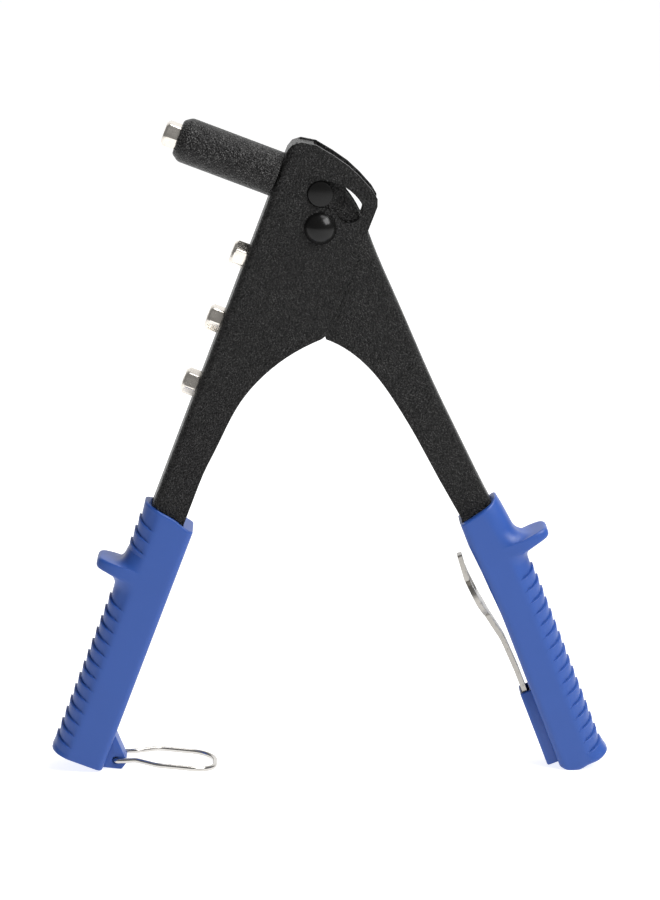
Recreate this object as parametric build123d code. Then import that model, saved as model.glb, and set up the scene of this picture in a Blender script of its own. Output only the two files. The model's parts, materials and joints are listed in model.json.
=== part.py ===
"""Hand riveter, standing open on the ends of its two grips.

Millimetres. +Z is up, +X is the way the handles spread to the right, +Y is away from the viewer.
Each part is drawn flat in the tool's own plane, with u along the barrel's axis towards the rear
and n square to it, upwards, both from the fulcrum. The frame's pieces are then turned by
FRAME_TILT about the fulcrum, and the lever's by LEVER_TILT.
"""

from build123d import *
import os
from math import asin, cos, degrees, radians, sin, tan

# Stance: the fulcrum's place over the floor, and how far each handle leans
FULCRUM_X = -3.3
FULCRUM_Z = 221.1
FRAME_TILT = 20.85
LEVER_TILT = -21.0
SWING = 41.0  # degrees that the lever turns to close

# Barrel and the line that the rod is pulled along
AXIS_N = 13.0
BARREL_DIA = 18.2
BARREL_FRONT = -64.6
BORE_DIA = 11.6
NOSE_THREAD_DIA = 8.0
THREAD_PLAY = 0.12  # on the diameter, so that a nosepiece can be unscrewed
SHANK_LENGTH = 4.4
SNOUT_LENGTH = 3.4
BARREL_TAIL_DIA = 14.0
MANDREL_DIA = 2.7

# Drive pin, which turns about the fulcrum in the head's curved slot
PIN_ARM = 13.7
PIN_DIA = 7.0
PIN_HEAD_DIA = 10.0
SLOT_HALF = 5.35
PIN_REST = -SWING / 2  # degrees from n, minus is to the front
SLOT_END = 36.0
FULCRUM_DIA = 7.0
DOME_DIA = 12.8
DOME_HEIGHT = 4.0

# Folded channels
SHEET = 2.0
FRAME_WIDTH = 19.0
LEVER_WIDTH = 14.6
WEB_U = -23.0
BLOCK_REAR = -13.5
ARM_END = -230.0
LEVER_END = -232.0
SPARE_FIRST_N = -22.0
SPARE_PITCH = 27.4

# Nosepieces: one fitted, three spare, with the bores of four rivet sizes
HEX_FLATS = 9.5
HEX_HEIGHT = 5.9
SPARE_BORES = (1.9, 2.3, 3.5)

# Grips
GRIP_DEPTH = 22.4
OUTER_ROUND = 8.5
INNER_ROUND = 2.5
RIB_PITCH = 4.9
RIB_DEPTH = 0.9
LEFT_OUTER = -26.1
LEFT_INNER = -4.0
LEFT_BOTTOM = -237.6
RIGHT_BOTTOM = -244.0
SNUG = 0.1  # gap between an arm and its grip

# Bail, a wire loop in the tab at the foot of the left grip
WIRE_DIA = 2.0
BAIL_HOLE = (-0.1, -232.7)
BAIL_HOLE_DIA = 2.5
BAIL_REACH = 41.3
BAIL_RISE = 0.9
BAIL_NECK_HALF = 6.9
BAIL_NECK = 8.4
BAIL_SPLAY = 17.0
BAIL_HALF = 12.6
TAB_WIDTH = 11.4

# Wrench, a bent strip that stands in the right grip's pocket
STRIP = 2.0
WRENCH_FOOT = -232.0
WRENCH_TOP = -142.9
WRENCH_FAR_TIP = -152.9
POCKET_TOP = -206.5
POCKET_FOOT = -238.7
POCKET_OUT = 7.1
POCKET_WALL = 1.0
POCKET_INNER = 11.0
POCKET_HALF = 6.8
HANDLE_WIDTH = 10.4

# Jaws and the parts that pull them
CONE_HALF_ANGLE = 9.0
CASE_MOUTH_DIA = 6.0
JAW_TRAVEL = 2.0
CASE_DIA = 11.5
CASE_FRONT = -58.6
CASE_LENGTH = 22.8
ROD_DIA = 7.6
ROD_BORE = 4.2
ROD_FRONT = -40.4
NUT_LENGTH = 4.0
EYE_WIDTH = 9.6


def tilt(shape, degrees_about_y):
    """Turn a shape drawn in u and n about the fulcrum, and carry it to its place."""
    return Pos(FULCRUM_X, 0, FULCRUM_Z) * Rot(0, degrees_about_y, 0) * shape


def plate(outline, half_width):
    """A prism of an outline in u and n, as wide each way from the middle."""
    face = make_face(outline)
    return extrude(face, amount=half_width, dir=(0, 1, 0), both=True)


def outline(points, radii):
    """A closed outline in u and n with a radius at each corner."""
    return FilletPolyline(*[(u, 0, n) for u, n in points], radius=radii, close=True)


def curve(*points, tangents=None):
    return Spline(*[(u, 0, n) for u, n in points], tangents=tangents)


def line(*points):
    return Polyline(*[(u, 0, n) for u, n in points])


def across(u, n, diameter, half_length):
    """A round bar across the tool."""
    return Pos(u, 0, n) * Rot(90, 0, 0) * Cylinder(diameter / 2, 2 * half_length)


def along(u_front, u_rear, diameter, n=AXIS_N):
    """A round bar along u."""
    place = Pos((u_front + u_rear) / 2, 0, n) * Rot(0, 90, 0)
    return place * Cylinder(diameter / 2, abs(u_rear - u_front))


def cone_along(u_front, u_rear, front_dia, rear_dia, n=AXIS_N):
    place = Pos((u_front + u_rear) / 2, 0, n) * Rot(0, 90, 0)
    return place * Cone(front_dia / 2, rear_dia / 2, u_rear - u_front)


def hex_along(u_front, u_rear, flats, n):
    face = Plane.YZ * RegularPolygon(flats / 2, 6, major_radius=False, rotation=90)
    return Pos(u_front, 0, n) * extrude(face, amount=u_rear - u_front)


def pin_place(angle):
    """Where the drive pin's axis is when it stands at an angle from n."""
    return PIN_ARM * sin(radians(angle)), PIN_ARM * cos(radians(angle))


# ---- Frame -------------------------------------------------------------------------------------


def frame_outline():
    """The head's plate, and the arm that curves down from it into the left grip."""
    head = line(
        (-8.6, -113), (-8.6, ARM_END), (WEB_U, ARM_END), (WEB_U, 24.0), (-21.9, 27.0),
        (-19.0, 29.2), (-13, 30.2), (-5.7, 28.9), (1.5, 27.1), (7.6, 24.6), (13.9, 21.3), (17.0, 18.8),
        (18.0, 16.0), (17.7, -38.5), (16.2, -41),
    )
    arm = curve(
        (16.2, -41), (6.4, -52), (-1.1, -65), (-5.1, -77), (-7.5, -98.5), (-8.6, -113),
        tangents=((-0.72, 0, -0.69), (0, 0, -1)),
    )
    return head + arm


def pin_slot():
    """The curved slot that the drive pin swings along, about the fulcrum."""
    first = radians(PIN_REST)
    last = radians(SLOT_END)
    middle = (first + last) / 2
    inner = PIN_ARM - SLOT_HALF
    outer = PIN_ARM + SLOT_HALF
    at = lambda r, a: (r * sin(a), 0, r * cos(a))
    cap = lambda a, way: (
        PIN_ARM * sin(a) + way * SLOT_HALF * cos(a), 0, PIN_ARM * cos(a) - way * SLOT_HALF * sin(a)
    )
    edge = [
        ThreePointArc(at(outer, first), at(outer, middle), at(outer, last)),
        ThreePointArc(at(outer, last), cap(last, 1), at(inner, last)),
        ThreePointArc(at(inner, last), at(inner, middle), at(inner, first)),
        ThreePointArc(at(inner, first), cap(first, -1), at(outer, first)),
    ]
    return plate(edge, FRAME_WIDTH)


def frame_column():
    """The folded section, a U with rounded folds at the front, drawn along the whole height."""
    length = 300
    long_u = 60
    middle = Pos(WEB_U + long_u / 2, 0, -100)
    outer = middle * Box(long_u, FRAME_WIDTH, length)
    outer = fillet(outer.edges().filter_by(Axis.Z).group_by(Axis.X)[0], 1.5 * SHEET)
    inner = Pos(SHEET, 0, 0) * middle * Box(long_u, FRAME_WIDTH - 2 * SHEET, length + 2)
    inner = fillet(inner.edges().filter_by(Axis.Z).group_by(Axis.X)[0], SHEET / 2)
    return outer - inner


def frame():
    body = plate(frame_outline(), FRAME_WIDTH) & frame_column()
    body -= pin_slot()
    body -= across(0, 0, FULCRUM_DIA, FRAME_WIDTH)
    body -= along(WEB_U - 1, WEB_U + SHEET + 1, BARREL_TAIL_DIA)
    for spare in range(len(SPARE_BORES)):
        n = SPARE_FIRST_N - spare * SPARE_PITCH
        body -= along(WEB_U - 1, WEB_U + SHEET + 1, NOSE_THREAD_DIA + THREAD_PLAY, n)
    return body


def nose_block():
    """The solid between the head's plates that the barrel screws into."""
    points = [(WEB_U + SHEET, 2.6), (WEB_U + SHEET, 28.3), (BLOCK_REAR, 29.6), (BLOCK_REAR, 2.6)]
    body = plate(outline(points, [1.0, 0, 0, 0.8]), FRAME_WIDTH / 2 - SHEET)
    body -= along(WEB_U, BLOCK_REAR - 3, BARREL_TAIL_DIA)
    return body - along(WEB_U, BLOCK_REAR + 1, ROD_DIA + 0.5)


def barrel():
    length = WEB_U - BARREL_FRONT
    tube = Pos(BARREL_FRONT + length / 2, 0, AXIS_N) * Rot(0, 90, 0) * Cylinder(BARREL_DIA / 2, length)
    front = tube.edges().group_by(Axis.X)[0]
    tube = chamfer(front, 3.3, 2.1, reference=tube.faces().sort_by(Axis.X)[1])
    tube += along(WEB_U - 0.5, BLOCK_REAR - 3, BARREL_TAIL_DIA)
    tube -= along(BARREL_FRONT + 4.4, BLOCK_REAR, BORE_DIA)
    return tube - along(BARREL_FRONT - 1, BARREL_FRONT + 5, NOSE_THREAD_DIA + THREAD_PLAY)


def nosepiece(u_seat, n, bore):
    """Hexagon head with a chamfered nose, a threaded shank and the snout that opens the jaws."""
    head = hex_along(u_seat - HEX_HEIGHT, u_seat, HEX_FLATS, n)
    head &= cone_along(u_seat - HEX_HEIGHT, u_seat - HEX_HEIGHT + 1.0, 8.4, 11.2, n) + along(
        u_seat - HEX_HEIGHT + 1.0, u_seat, 11.2, n
    )
    u_snout = u_seat + SHANK_LENGTH
    shank = along(u_seat, u_snout, NOSE_THREAD_DIA, n)
    snout = cone_along(u_snout, u_snout + SNOUT_LENGTH, 5.4, 4.8, n)
    return head + shank + snout - along(u_seat - 10, u_seat + 10, bore, n)


def fulcrum_rivet():
    """A plain shank with a domed head outside each plate."""
    ball = (DOME_DIA**2 / 4 + DOME_HEIGHT**2) / (2 * DOME_HEIGHT)
    shank = across(0, 0, FULCRUM_DIA, FRAME_WIDTH / 2)
    for side in (-1, 1):
        dome = Pos(0, side * (FRAME_WIDTH / 2 + DOME_HEIGHT - ball), 0) * Sphere(ball)
        outside = Pos(0, side * (FRAME_WIDTH / 2 + 10), 0) * Box(40, 20, 40)
        shank += dome & outside
    return shank


# ---- Lever -------------------------------------------------------------------------------------


def lever_pin():
    """The drive pin's axis in the lever's own u and n."""
    return pin_place(PIN_REST + FRAME_TILT - LEVER_TILT)


def lever_outer(grow):
    points = [
        (14.6, 10.0), (16.8, 0), (16.9, -13), (17.9, -40), (19.3, -73), (21.9, -105),
        (24.0, -127), (27.0, -150), (28.0, -175), (28.0, LEVER_END),
    ]
    return [(u + grow, n) for u, n in points]


def lever_inner(grow):
    points = [
        (14.6, LEVER_END), (14.4, -170), (12.6, -145), (10.2, -127), (7.6, -109), (5.4, -91.5),
        (2.8, -76.5), (0, -65), (-5.4, -52.6), (-13.8, -42.4),
    ]
    return [(u - grow, n) for u, n in points]


def lever_outline(grow=0.0):
    """The two ears' and the arm's shape, seen from the side."""
    u_pin, n_pin = lever_pin()
    start = (u_pin - 9.0, n_pin - 0.8)
    outer = lever_outer(grow)
    inner = lever_inner(grow)
    end = outer[0]
    top = ThreePointArc((start[0], 0, start[1]), (u_pin - 1.6, 0, n_pin + 9.4), (end[0], 0, end[1]))
    front = line(inner[-1], (-10.4, -8.0), start)
    foot = line(outer[-1], inner[0])
    return top + curve(*outer) + foot + curve(*inner) + front


def lever():
    body = plate(lever_outline(), LEVER_WIDTH / 2)
    web_top = -4.0
    inside = LEVER_WIDTH / 2 - SHEET
    rear = [edge for edge in body.edges() if edge.length > 200 and edge.center().X > 18]
    body = fillet(rear, 1.2 * SHEET)
    shifted = Pos(-SHEET, 0, 0) * plate(lever_outline(), inside)
    swept = Pos(-3 * SHEET, 0, 0) * plate(lever_outline(), inside)
    far = Pos(-6 * SHEET, 0, 0) * plate(lever_outline(), inside)
    below = Pos(0, 0, web_top - 150) * Box(200, 100, 300)
    body -= (shifted & below) + (swept & below) + (far & below)
    body -= Pos(0, 0, web_top + 50) * Box(100, 2 * inside, 100)
    body -= across(0, 0, FULCRUM_DIA + 0.1, LEVER_WIDTH)
    # The ear's front is cut flat, and rests beside the nose block when the tool is open
    turn = FRAME_TILT - LEVER_TILT
    flat = Rot(0, turn, 0) * Pos(BLOCK_REAR + 0.4 - 10, 0, 14) * Box(20, 40, 40)
    body -= flat
    u_pin, n_pin = lever_pin()
    return body - across(u_pin, n_pin, PIN_DIA, LEVER_WIDTH)


def drive_pin():
    u_pin, n_pin = lever_pin()
    half = LEVER_WIDTH / 2
    pin = across(u_pin, n_pin, PIN_DIA, half)
    for side in (-1, 1):
        head = Pos(u_pin, side * (half + 1.6), n_pin) * Rot(90, 0, 0) * Cylinder(PIN_HEAD_DIA / 2, 3.1)
        outer = head.faces().sort_by(Axis.Y)[0 if side < 0 else -1]
        pin += chamfer(outer.edges(), 0.4)
        pin += Pos(u_pin, side * half, n_pin) * Rot(90, 0, 0) * Cylinder(PIN_DIA / 2, 1)
    return pin


# ---- Pull rod, jaws and springs ----------------------------------------------------------------


def cone_dia(u):
    """The jaw case's conical bore, which narrows to the front."""
    return CASE_MOUTH_DIA + 2 * (u - CASE_FRONT) * tan(radians(CONE_HALF_ANGLE))


def jaw_case():
    rear = CASE_FRONT + CASE_LENGTH
    case = along(CASE_FRONT, rear, CASE_DIA)
    case -= cone_along(CASE_FRONT - 1, CASE_FRONT + 11.5, cone_dia(CASE_FRONT - 1), cone_dia(CASE_FRONT + 11.5))
    case -= along(CASE_FRONT + 11, rear - 6.5, 9.6)
    return case - along(rear - 7, rear + 1, 9.0)


def jaw_travel(side):
    """How far a jaw stands back and out from its closed place, in u and n."""
    return JAW_TRAVEL, side * JAW_TRAVEL * tan(radians(CONE_HALF_ANGLE))


def jaw(side):
    """One half of the split cone, with a round groove down its flat face for the mandrel."""
    front = CASE_FRONT + 0.3
    rear = front + 9.0
    play = 0.12
    shape = cone_along(front, rear, cone_dia(front) - play, cone_dia(rear) - play)
    half = Pos((front + rear) / 2, 0, AXIS_N + side * (10 + 0.05)) * Box(20, 20, 20)
    closed = (shape & half) - along(front - 1, rear + 1, 2.2)
    back, out = jaw_travel(side)
    return Pos(back, 0, out) * closed


def jaw_pusher():
    front = CASE_FRONT + 11.4
    sleeve = cone_along(front, front + 1.5, 6.6, 8.6) + along(front + 1.5, front + 3.0, 8.6)
    return sleeve - along(front - 1, front + 4, 3.6)


def coil(u_front, u_rear, mean_dia, wire, turns):
    """An open coil spring along the barrel's axis."""
    length = u_rear - u_front - wire
    path = Helix(pitch=length / turns, height=length, radius=mean_dia / 2)
    section = Plane(origin=path @ 0, z_dir=path % 0) * Circle(wire / 2)
    spring = sweep(section, path=path, is_frenet=True)
    return Pos(u_front + wire / 2, 0, AXIS_N) * Rot(0, 90, 0) * spring


def jaw_spring():
    return coil(CASE_FRONT + 14.5, ROD_FRONT - 0.05, 6.6, 0.6, 2.5)


def return_spring():
    return coil(CASE_FRONT + CASE_LENGTH + NUT_LENGTH + 0.3, BLOCK_REAR - 3.05, 9.4, 0.8, 5)


def jaw_case_locknut():
    front = CASE_FRONT + CASE_LENGTH + 0.1
    ring = along(front, front + NUT_LENGTH, 11.2)
    ring &= hex_along(front, front + NUT_LENGTH, 10.4, AXIS_N)
    return ring - along(front - 1, front + NUT_LENGTH + 1, 9.0)


def pull_rod():
    """Hollow rod, threaded into the jaw case in front, with a cross slot for the drive pin."""
    u_pin, n_pin = pin_place(PIN_REST)
    n_middle = (n_pin + PIN_ARM) / 2
    slot_high = PIN_DIA + (PIN_ARM - n_pin) + 0.3
    thread_rear = CASE_FRONT + CASE_LENGTH + NUT_LENGTH + 0.1
    rod = along(ROD_FRONT, thread_rear, 9.0) + along(thread_rear, u_pin, ROD_DIA)
    eye = Pos(u_pin, 0, n_middle) * Box(PIN_DIA + 5.4, EYE_WIDTH, slot_high + 4.6)
    eye = fillet(eye.edges().filter_by(Axis.Y), 3.0)
    rod += eye
    rod -= along(ROD_FRONT - 1, u_pin - PIN_DIA / 2 - 1.5, ROD_BORE)
    return rod - Pos(u_pin, 0, n_middle) * Box(PIN_DIA + 0.2, 20, slot_high)


# ---- Grips -------------------------------------------------------------------------------------


def grip_section(inner, outer, n, round_inner=INNER_ROUND, round_outer=OUTER_ROUND, inset=0.0):
    """A grip's section at a height: flat sides, a well rounded back, small rounds inside."""
    way = 1 if outer > inner else -1
    half = GRIP_DEPTH / 2 - inset
    near = inner + way * inset
    far = outer - way * inset
    points = [(near, -half, n), (far, -half, n), (far, half, n), (near, half, n)]
    big = max(round_outer - inset, 0.5)
    small = max(round_inner - inset, 0.4)
    return make_face(FilletPolyline(*points, radius=[small, big, big, small], close=True))


def grip_stack(levels):
    """Ruled segments between sections; each level is (n, inner, outer above, outer below)."""
    solid = None
    for upper, lower in zip(levels, levels[1:]):
        top = grip_section(upper[1], upper[3], upper[0])
        foot = grip_section(lower[1], lower[2], lower[0])
        segment = loft([foot, top], ruled=True)
        solid = segment if solid is None else solid + segment
    return solid


def rib_levels(first_n, count, inner_at, outer_at, depth):
    """Levels of a saw-toothed stretch: each rib tapers down to the ledge of the next one."""
    levels = []
    for rib in range(count + 1):
        n = first_n - rib * RIB_PITCH
        above = outer_at(n) - (depth if rib > 0 else 0)
        levels.append((n, inner_at(n), above, outer_at(n)))
    n, inner, above, below = levels[0]
    levels[0] = (n, inner, outer_at(n) - depth, below)
    last = levels[-1]
    levels[-1] = (last[0], last[1], last[2], last[2])
    return levels


def guard(root, tip, top, thickness, blend, droop):
    """A finger guard: a rounded blade that stands out of the grip's back, blended to it."""
    way = 1 if tip > root else -1
    deep = root - way * 8
    foot = top - thickness
    points = [
        (deep, top + blend + 1), (root - way * 1.2, top + blend + 1), (root + way * 0.9, top + 1.0),
        (root + way * blend, top - 0.4), (tip, top - droop), (tip - way * 0.4, top - droop - thickness),
        (root + way * blend, foot - 1.8), (root + way * 0.9, foot - 3.4),
        (root - way * 1.2, foot - blend - 3), (deep, foot - blend - 3),
    ]
    radii = [0, 0, 2.0, 4.0, 2.2, 2.2, 4.0, 2.0, 0, 0]
    blade = plate(outline(points, radii), GRIP_DEPTH)
    plan = Pos((deep + tip) / 2, 0, top - 10) * Box(abs(tip - deep), GRIP_DEPTH - 3.0, 80)
    ends = plan.edges().filter_by(Axis.Z).group_by(Axis.X)[-1 if way > 0 else 0]
    return blade & fillet(ends, 7.5)


def grip_left():
    inner = lambda n: LEFT_INNER
    outer = lambda n: LEFT_OUTER
    depth = -RIB_DEPTH
    levels = [(-127.0, LEFT_INNER, LEFT_OUTER, LEFT_OUTER)]
    levels += rib_levels(-131.5, 3, inner, outer, depth)
    levels += [(-146.8, LEFT_INNER, LEFT_OUTER, LEFT_OUTER)]
    levels += rib_levels(-168.0, 13, inner, outer, depth)
    levels += [(-233.6, LEFT_INNER, LEFT_OUTER, LEFT_OUTER), (LEFT_BOTTOM, LEFT_INNER, LEFT_OUTER, LEFT_OUTER)]
    body = grip_stack(levels)
    body += guard(LEFT_OUTER, -35.9, -151.0, 6.2, 4.5, 5.5)
    body -= left_rim_cut()
    foot = [edge for edge in body.edges() if abs(edge.center().Z - LEFT_BOTTOM) < 0.01]
    body = fillet(foot, 1.6)
    tab = outline(
        [(-9, -217.5), (-4.2, -222.6), (3.9, -231.1), (4.4, -232.6), (3.4, -235.4), (-4.2, -237.4), (-9, -237)],
        [0, 0, 0.8, 0.5, 0.8, 0, 0],
    )
    body += plate(tab, TAB_WIDTH / 2)
    body -= across(*BAIL_HOLE, BAIL_HOLE_DIA, 20)
    high = -ARM_END + 1.0 - 100
    arm = Pos((WEB_U - 8.6) / 2, 0, ARM_END - 1 + high / 2) * Box(
        -8.6 - WEB_U + 2 * SNUG, FRAME_WIDTH + 2 * SNUG, high
    )
    arm = fillet(arm.edges().filter_by(Axis.Z).group_by(Axis.X)[0], 1.5 * SHEET)
    return body - arm


def left_rim_cut():
    """The rim's gentle slope, lower towards the hand's inside."""
    edge = curve((LEFT_OUTER - 4, -127.8), (-18.8, -128.9), (-12, -130.1), (-7.1, -131.9), (0, -132.2))
    return plate(edge + line((0, -132.2), (0, -100), (LEFT_OUTER - 4, -100), (LEFT_OUTER - 4, -127.8)), 20)


def right_inner(n):
    """The right grip's inner side, which leans in towards the top."""
    if n < -172:
        return 11.7
    return 11.7 - 2.3 * ((min(n, -141) + 172) / 31) ** 1.25


def right_outer(n):
    if n < -236:
        return 31.0 + (-236 - n) * 0.17
    if n < -165:
        return 31.0
    return 31.0 - 4.0 * ((n + 165) / 38) ** 1.5


def grip_right():
    level = lambda n: (n, right_inner(n), right_outer(n), right_outer(n))
    levels = [level(n) for n in (-124.0, -133.0, -142.0, -151.0, -158.0)]
    levels += rib_levels(-161.0, 16, right_inner, right_outer, RIB_DEPTH)
    levels += [level(n) for n in (-240.0, RIGHT_BOTTOM)]
    body = grip_stack(levels)
    body += guard(29.2, 40.8, -140.2, 6.6, 4.5, 4.2)
    body -= right_rim_cut()
    body -= right_foot_cut()
    body += pocket_block()
    slot_high = POCKET_TOP - WRENCH_FOOT + 2.0
    slot_front = POCKET_OUT + POCKET_WALL
    slot = Pos((slot_front + POCKET_INNER) / 2, 0, WRENCH_FOOT - 1.0 + slot_high / 2)
    body -= slot * Box(POCKET_INNER - slot_front, HANDLE_WIDTH + 0.6, slot_high)
    return body - right_arm_pocket()


def right_rim_cut():
    edge = curve((0, -134.5), (9.2, -131.8), (16, -130.4), (23.7, -128.2), (26.3, -126.8), (34, -125.6))
    return plate(edge + line((34, -125.6), (34, -100), (0, -100), (0, -134.5)), 20)


def right_foot_cut():
    """The rounded foot, lowest under the middle of the grip."""
    edge = curve((5, -231.0), (12.8, -239.4), (18.9, -243.6), (25, -243.6), (31.6, -241.4), (36, -238))
    return plate(edge + line((36, -238), (36, -260), (5, -260), (5, -231.0)), 20)


def pocket_block():
    points = [(POCKET_OUT, POCKET_FOOT), (POCKET_OUT, POCKET_TOP), (13.5, POCKET_TOP), (13.5, POCKET_FOOT + 1.5)]
    return plate(outline(points, [0.6, 0.5, 0, 0]), POCKET_HALF)


def right_arm_pocket():
    arm = plate(lever_outline(SNUG), LEVER_WIDTH / 2 + SNUG)
    arm = arm & (Pos(20, 0, -165) * Box(100, 100, 150))
    end = Pos((lever_inner(SNUG)[0][0] + lever_outer(SNUG)[-1][0]) / 2, 0, LEVER_END)
    return arm + end * Box(28.0 - 14.6 + 2 * SNUG, LEVER_WIDTH + 2 * SNUG, 2)


# ---- Bail and wrench ---------------------------------------------------------------------------


def bail_drop():
    """How far the bail leans down to reach the floor, in degrees."""
    u, n = BAIL_HOLE
    height = FULCRUM_Z - u * sin(radians(FRAME_TILT)) + n * cos(radians(FRAME_TILT))
    return degrees(asin((height - WIRE_DIA / 2 - 0.05) / (BAIL_REACH - WIRE_DIA / 2)))


def bail():
    """A bent wire loop: its ends meet inside the tab's hole."""
    tip = BAIL_REACH - WIRE_DIA / 2
    neck = BAIL_NECK_HALF
    rise = BAIL_RISE
    side = [(0, neck, 0), (BAIL_NECK, neck, rise), (BAIL_SPLAY, BAIL_HALF, rise), (tip, BAIL_HALF, 0)]
    points = [(0, -0.15, 0)] + [(x, -y, z) for x, y, z in side] + side[::-1] + [(0, 0.15, 0)]
    radii = [1.6, 5.0, 6.0, 9.5, 9.5, 6.0, 5.0, 1.6]
    path = FilletPolyline(*points, radius=radii)
    section = Plane(origin=path @ 0, z_dir=path % 0) * Circle(WIRE_DIA / 2)
    return sweep(section, path=path)


def bail_in_place():
    u, n = BAIL_HOLE
    hole = tilt(Pos(u, 0, n), FRAME_TILT)
    return Pos(hole.position) * Rot(0, bail_drop(), 0) * bail()


def wrench_middle():
    """The strip's middle line: straight in the pocket, then leaning out and back."""
    return [
        (9.25, WRENCH_FOOT), (9.25, -197), (8.6, -183), (5.0, -165.5), (3.8, -154), (4.7, WRENCH_TOP),
    ]


def wrench():
    path = FilletPolyline(*[(u, 0, n) for u, n in wrench_middle()], radius=[30, 26, 26, 14])
    strip = sweep(Plane(origin=path @ 0, z_dir=path % 0) * Rectangle(STRIP, 30), path=path)
    shaft = Pos(0, 0, WRENCH_FOOT + 40) * Box(60, HANDLE_WIDTH, 80)
    foot = shaft.edges().filter_by(Axis.X).group_by(Axis.Z)[0]
    shaft = fillet(foot, 3.0)
    head = Pos(5, 0, -162.3) * Rot(0, 90, 0) * Cylinder(10.6, 40)
    for side, tip in ((-1, WRENCH_TOP), (1, WRENCH_FAR_TIP)):
        tine = Pos(5, side * 5.6, tip - 5) * Box(40, 10.0, 12.0)
        head += fillet(tine.edges().filter_by(Axis.X).group_by(Axis.Z)[-1], 2.0)
    strip &= shaft + head
    return strip - Pos(5, 0, -151.5) * Box(60, HEX_FLATS + 0.2, 20)


# ---- Writing -----------------------------------------------------------------------------------


def nodes():
    parts = {
        "frame": tilt(frame(), FRAME_TILT),
        "nose_block": tilt(nose_block(), FRAME_TILT),
        "barrel": tilt(barrel(), FRAME_TILT),
        "nosepiece_fitted": tilt(nosepiece(BARREL_FRONT, AXIS_N, MANDREL_DIA), FRAME_TILT),
        "fulcrum_rivet": tilt(fulcrum_rivet(), FRAME_TILT),
        "jaw_case": tilt(jaw_case(), FRAME_TILT),
        "jaw_case_locknut": tilt(jaw_case_locknut(), FRAME_TILT),
        "jaw_upper": tilt(jaw(1), FRAME_TILT),
        "jaw_lower": tilt(jaw(-1), FRAME_TILT),
        "jaw_pusher": tilt(jaw_pusher(), FRAME_TILT),
        "jaw_spring": tilt(jaw_spring(), FRAME_TILT),
        "return_spring": tilt(return_spring(), FRAME_TILT),
        "pull_rod": tilt(pull_rod(), FRAME_TILT),
        "grip_left": tilt(grip_left(), FRAME_TILT),
        "bail": bail_in_place(),
        "lever": tilt(lever(), LEVER_TILT),
        "drive_pin": tilt(drive_pin(), LEVER_TILT),
        "grip_right": tilt(grip_right(), LEVER_TILT),
        "wrench": tilt(wrench(), LEVER_TILT),
    }
    for place, bore in enumerate(SPARE_BORES):
        n = SPARE_FIRST_N - place * SPARE_PITCH
        parts[f"nosepiece_spare_{place + 1}"] = tilt(nosepiece(WEB_U, n, bore), FRAME_TILT)
    return parts


def main():
    os.makedirs("parts", exist_ok=True)
    for name, shape in nodes().items():
        export_step(shape, f"parts/{name}.step")


main()
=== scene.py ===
"""Looks of a hand riveter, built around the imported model.

Shapes are worked out in millimetres in each handle's own directions, u square to the handle and
n along it, both from the fulcrum, and put into the meshes in metres.
"""

import json
import math

import bpy
import numpy as np
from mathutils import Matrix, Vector


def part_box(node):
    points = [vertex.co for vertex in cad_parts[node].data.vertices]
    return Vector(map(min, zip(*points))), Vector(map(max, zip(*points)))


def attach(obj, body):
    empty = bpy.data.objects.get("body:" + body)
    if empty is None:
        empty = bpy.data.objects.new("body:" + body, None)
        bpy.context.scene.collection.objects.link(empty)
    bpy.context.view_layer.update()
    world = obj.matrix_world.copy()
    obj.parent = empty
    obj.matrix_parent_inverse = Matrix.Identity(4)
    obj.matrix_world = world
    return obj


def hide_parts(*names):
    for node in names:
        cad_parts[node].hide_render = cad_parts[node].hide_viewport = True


MM = 0.001
ACROSS = np.array([0.0, 1.0, 0.0])
UP = np.array([0.0, 0.0, 1.0])
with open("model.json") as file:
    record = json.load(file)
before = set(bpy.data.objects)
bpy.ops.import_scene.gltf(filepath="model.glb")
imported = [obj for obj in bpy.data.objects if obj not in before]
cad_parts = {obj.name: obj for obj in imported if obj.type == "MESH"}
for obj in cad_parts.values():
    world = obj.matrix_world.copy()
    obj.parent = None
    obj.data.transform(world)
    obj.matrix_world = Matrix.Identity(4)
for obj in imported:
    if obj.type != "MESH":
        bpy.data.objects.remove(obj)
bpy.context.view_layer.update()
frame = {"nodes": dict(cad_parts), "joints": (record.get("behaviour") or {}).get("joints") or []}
nodes = frame["nodes"]
joints = {joint["name"]: joint for joint in frame["joints"]}


# ---- Places taken from the frame ---------------------------------------------------------------

FULCRUM = np.array(joints["lever_pivot"]["pos_m"]) / MM
BARREL_WAY = np.array(joints["pull"]["axis"])
LEVER_WAY = np.array(joints["wrench_draw"]["axis"])
BAIL_HOLE = np.array(joints["bail_swing"]["pos_m"]) / MM


class Handle:
    """One handle's directions: n runs up along it, u square to it towards the right."""

    def __init__(self, up):
        self.n = np.array(up)
        self.u = np.array([up[2], 0.0, -up[0]])

    def place(self, u, y, n):
        """Points in metres from u, y and n in millimetres."""
        u, y, n = np.broadcast_arrays(u, y, n)
        points = FULCRUM + u[..., None] * self.u + n[..., None] * self.n
        points[..., 1] += y
        return points * MM


LEFT = Handle([-BARREL_WAY[2], 0.0, BARREL_WAY[0]])
RIGHT = Handle(LEVER_WAY)


# ---- Meshes ------------------------------------------------------------------------------------

CAD_SMOOTH = 35.0  # degrees: a sharper edge of a carried-over shape is bevelled


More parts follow.
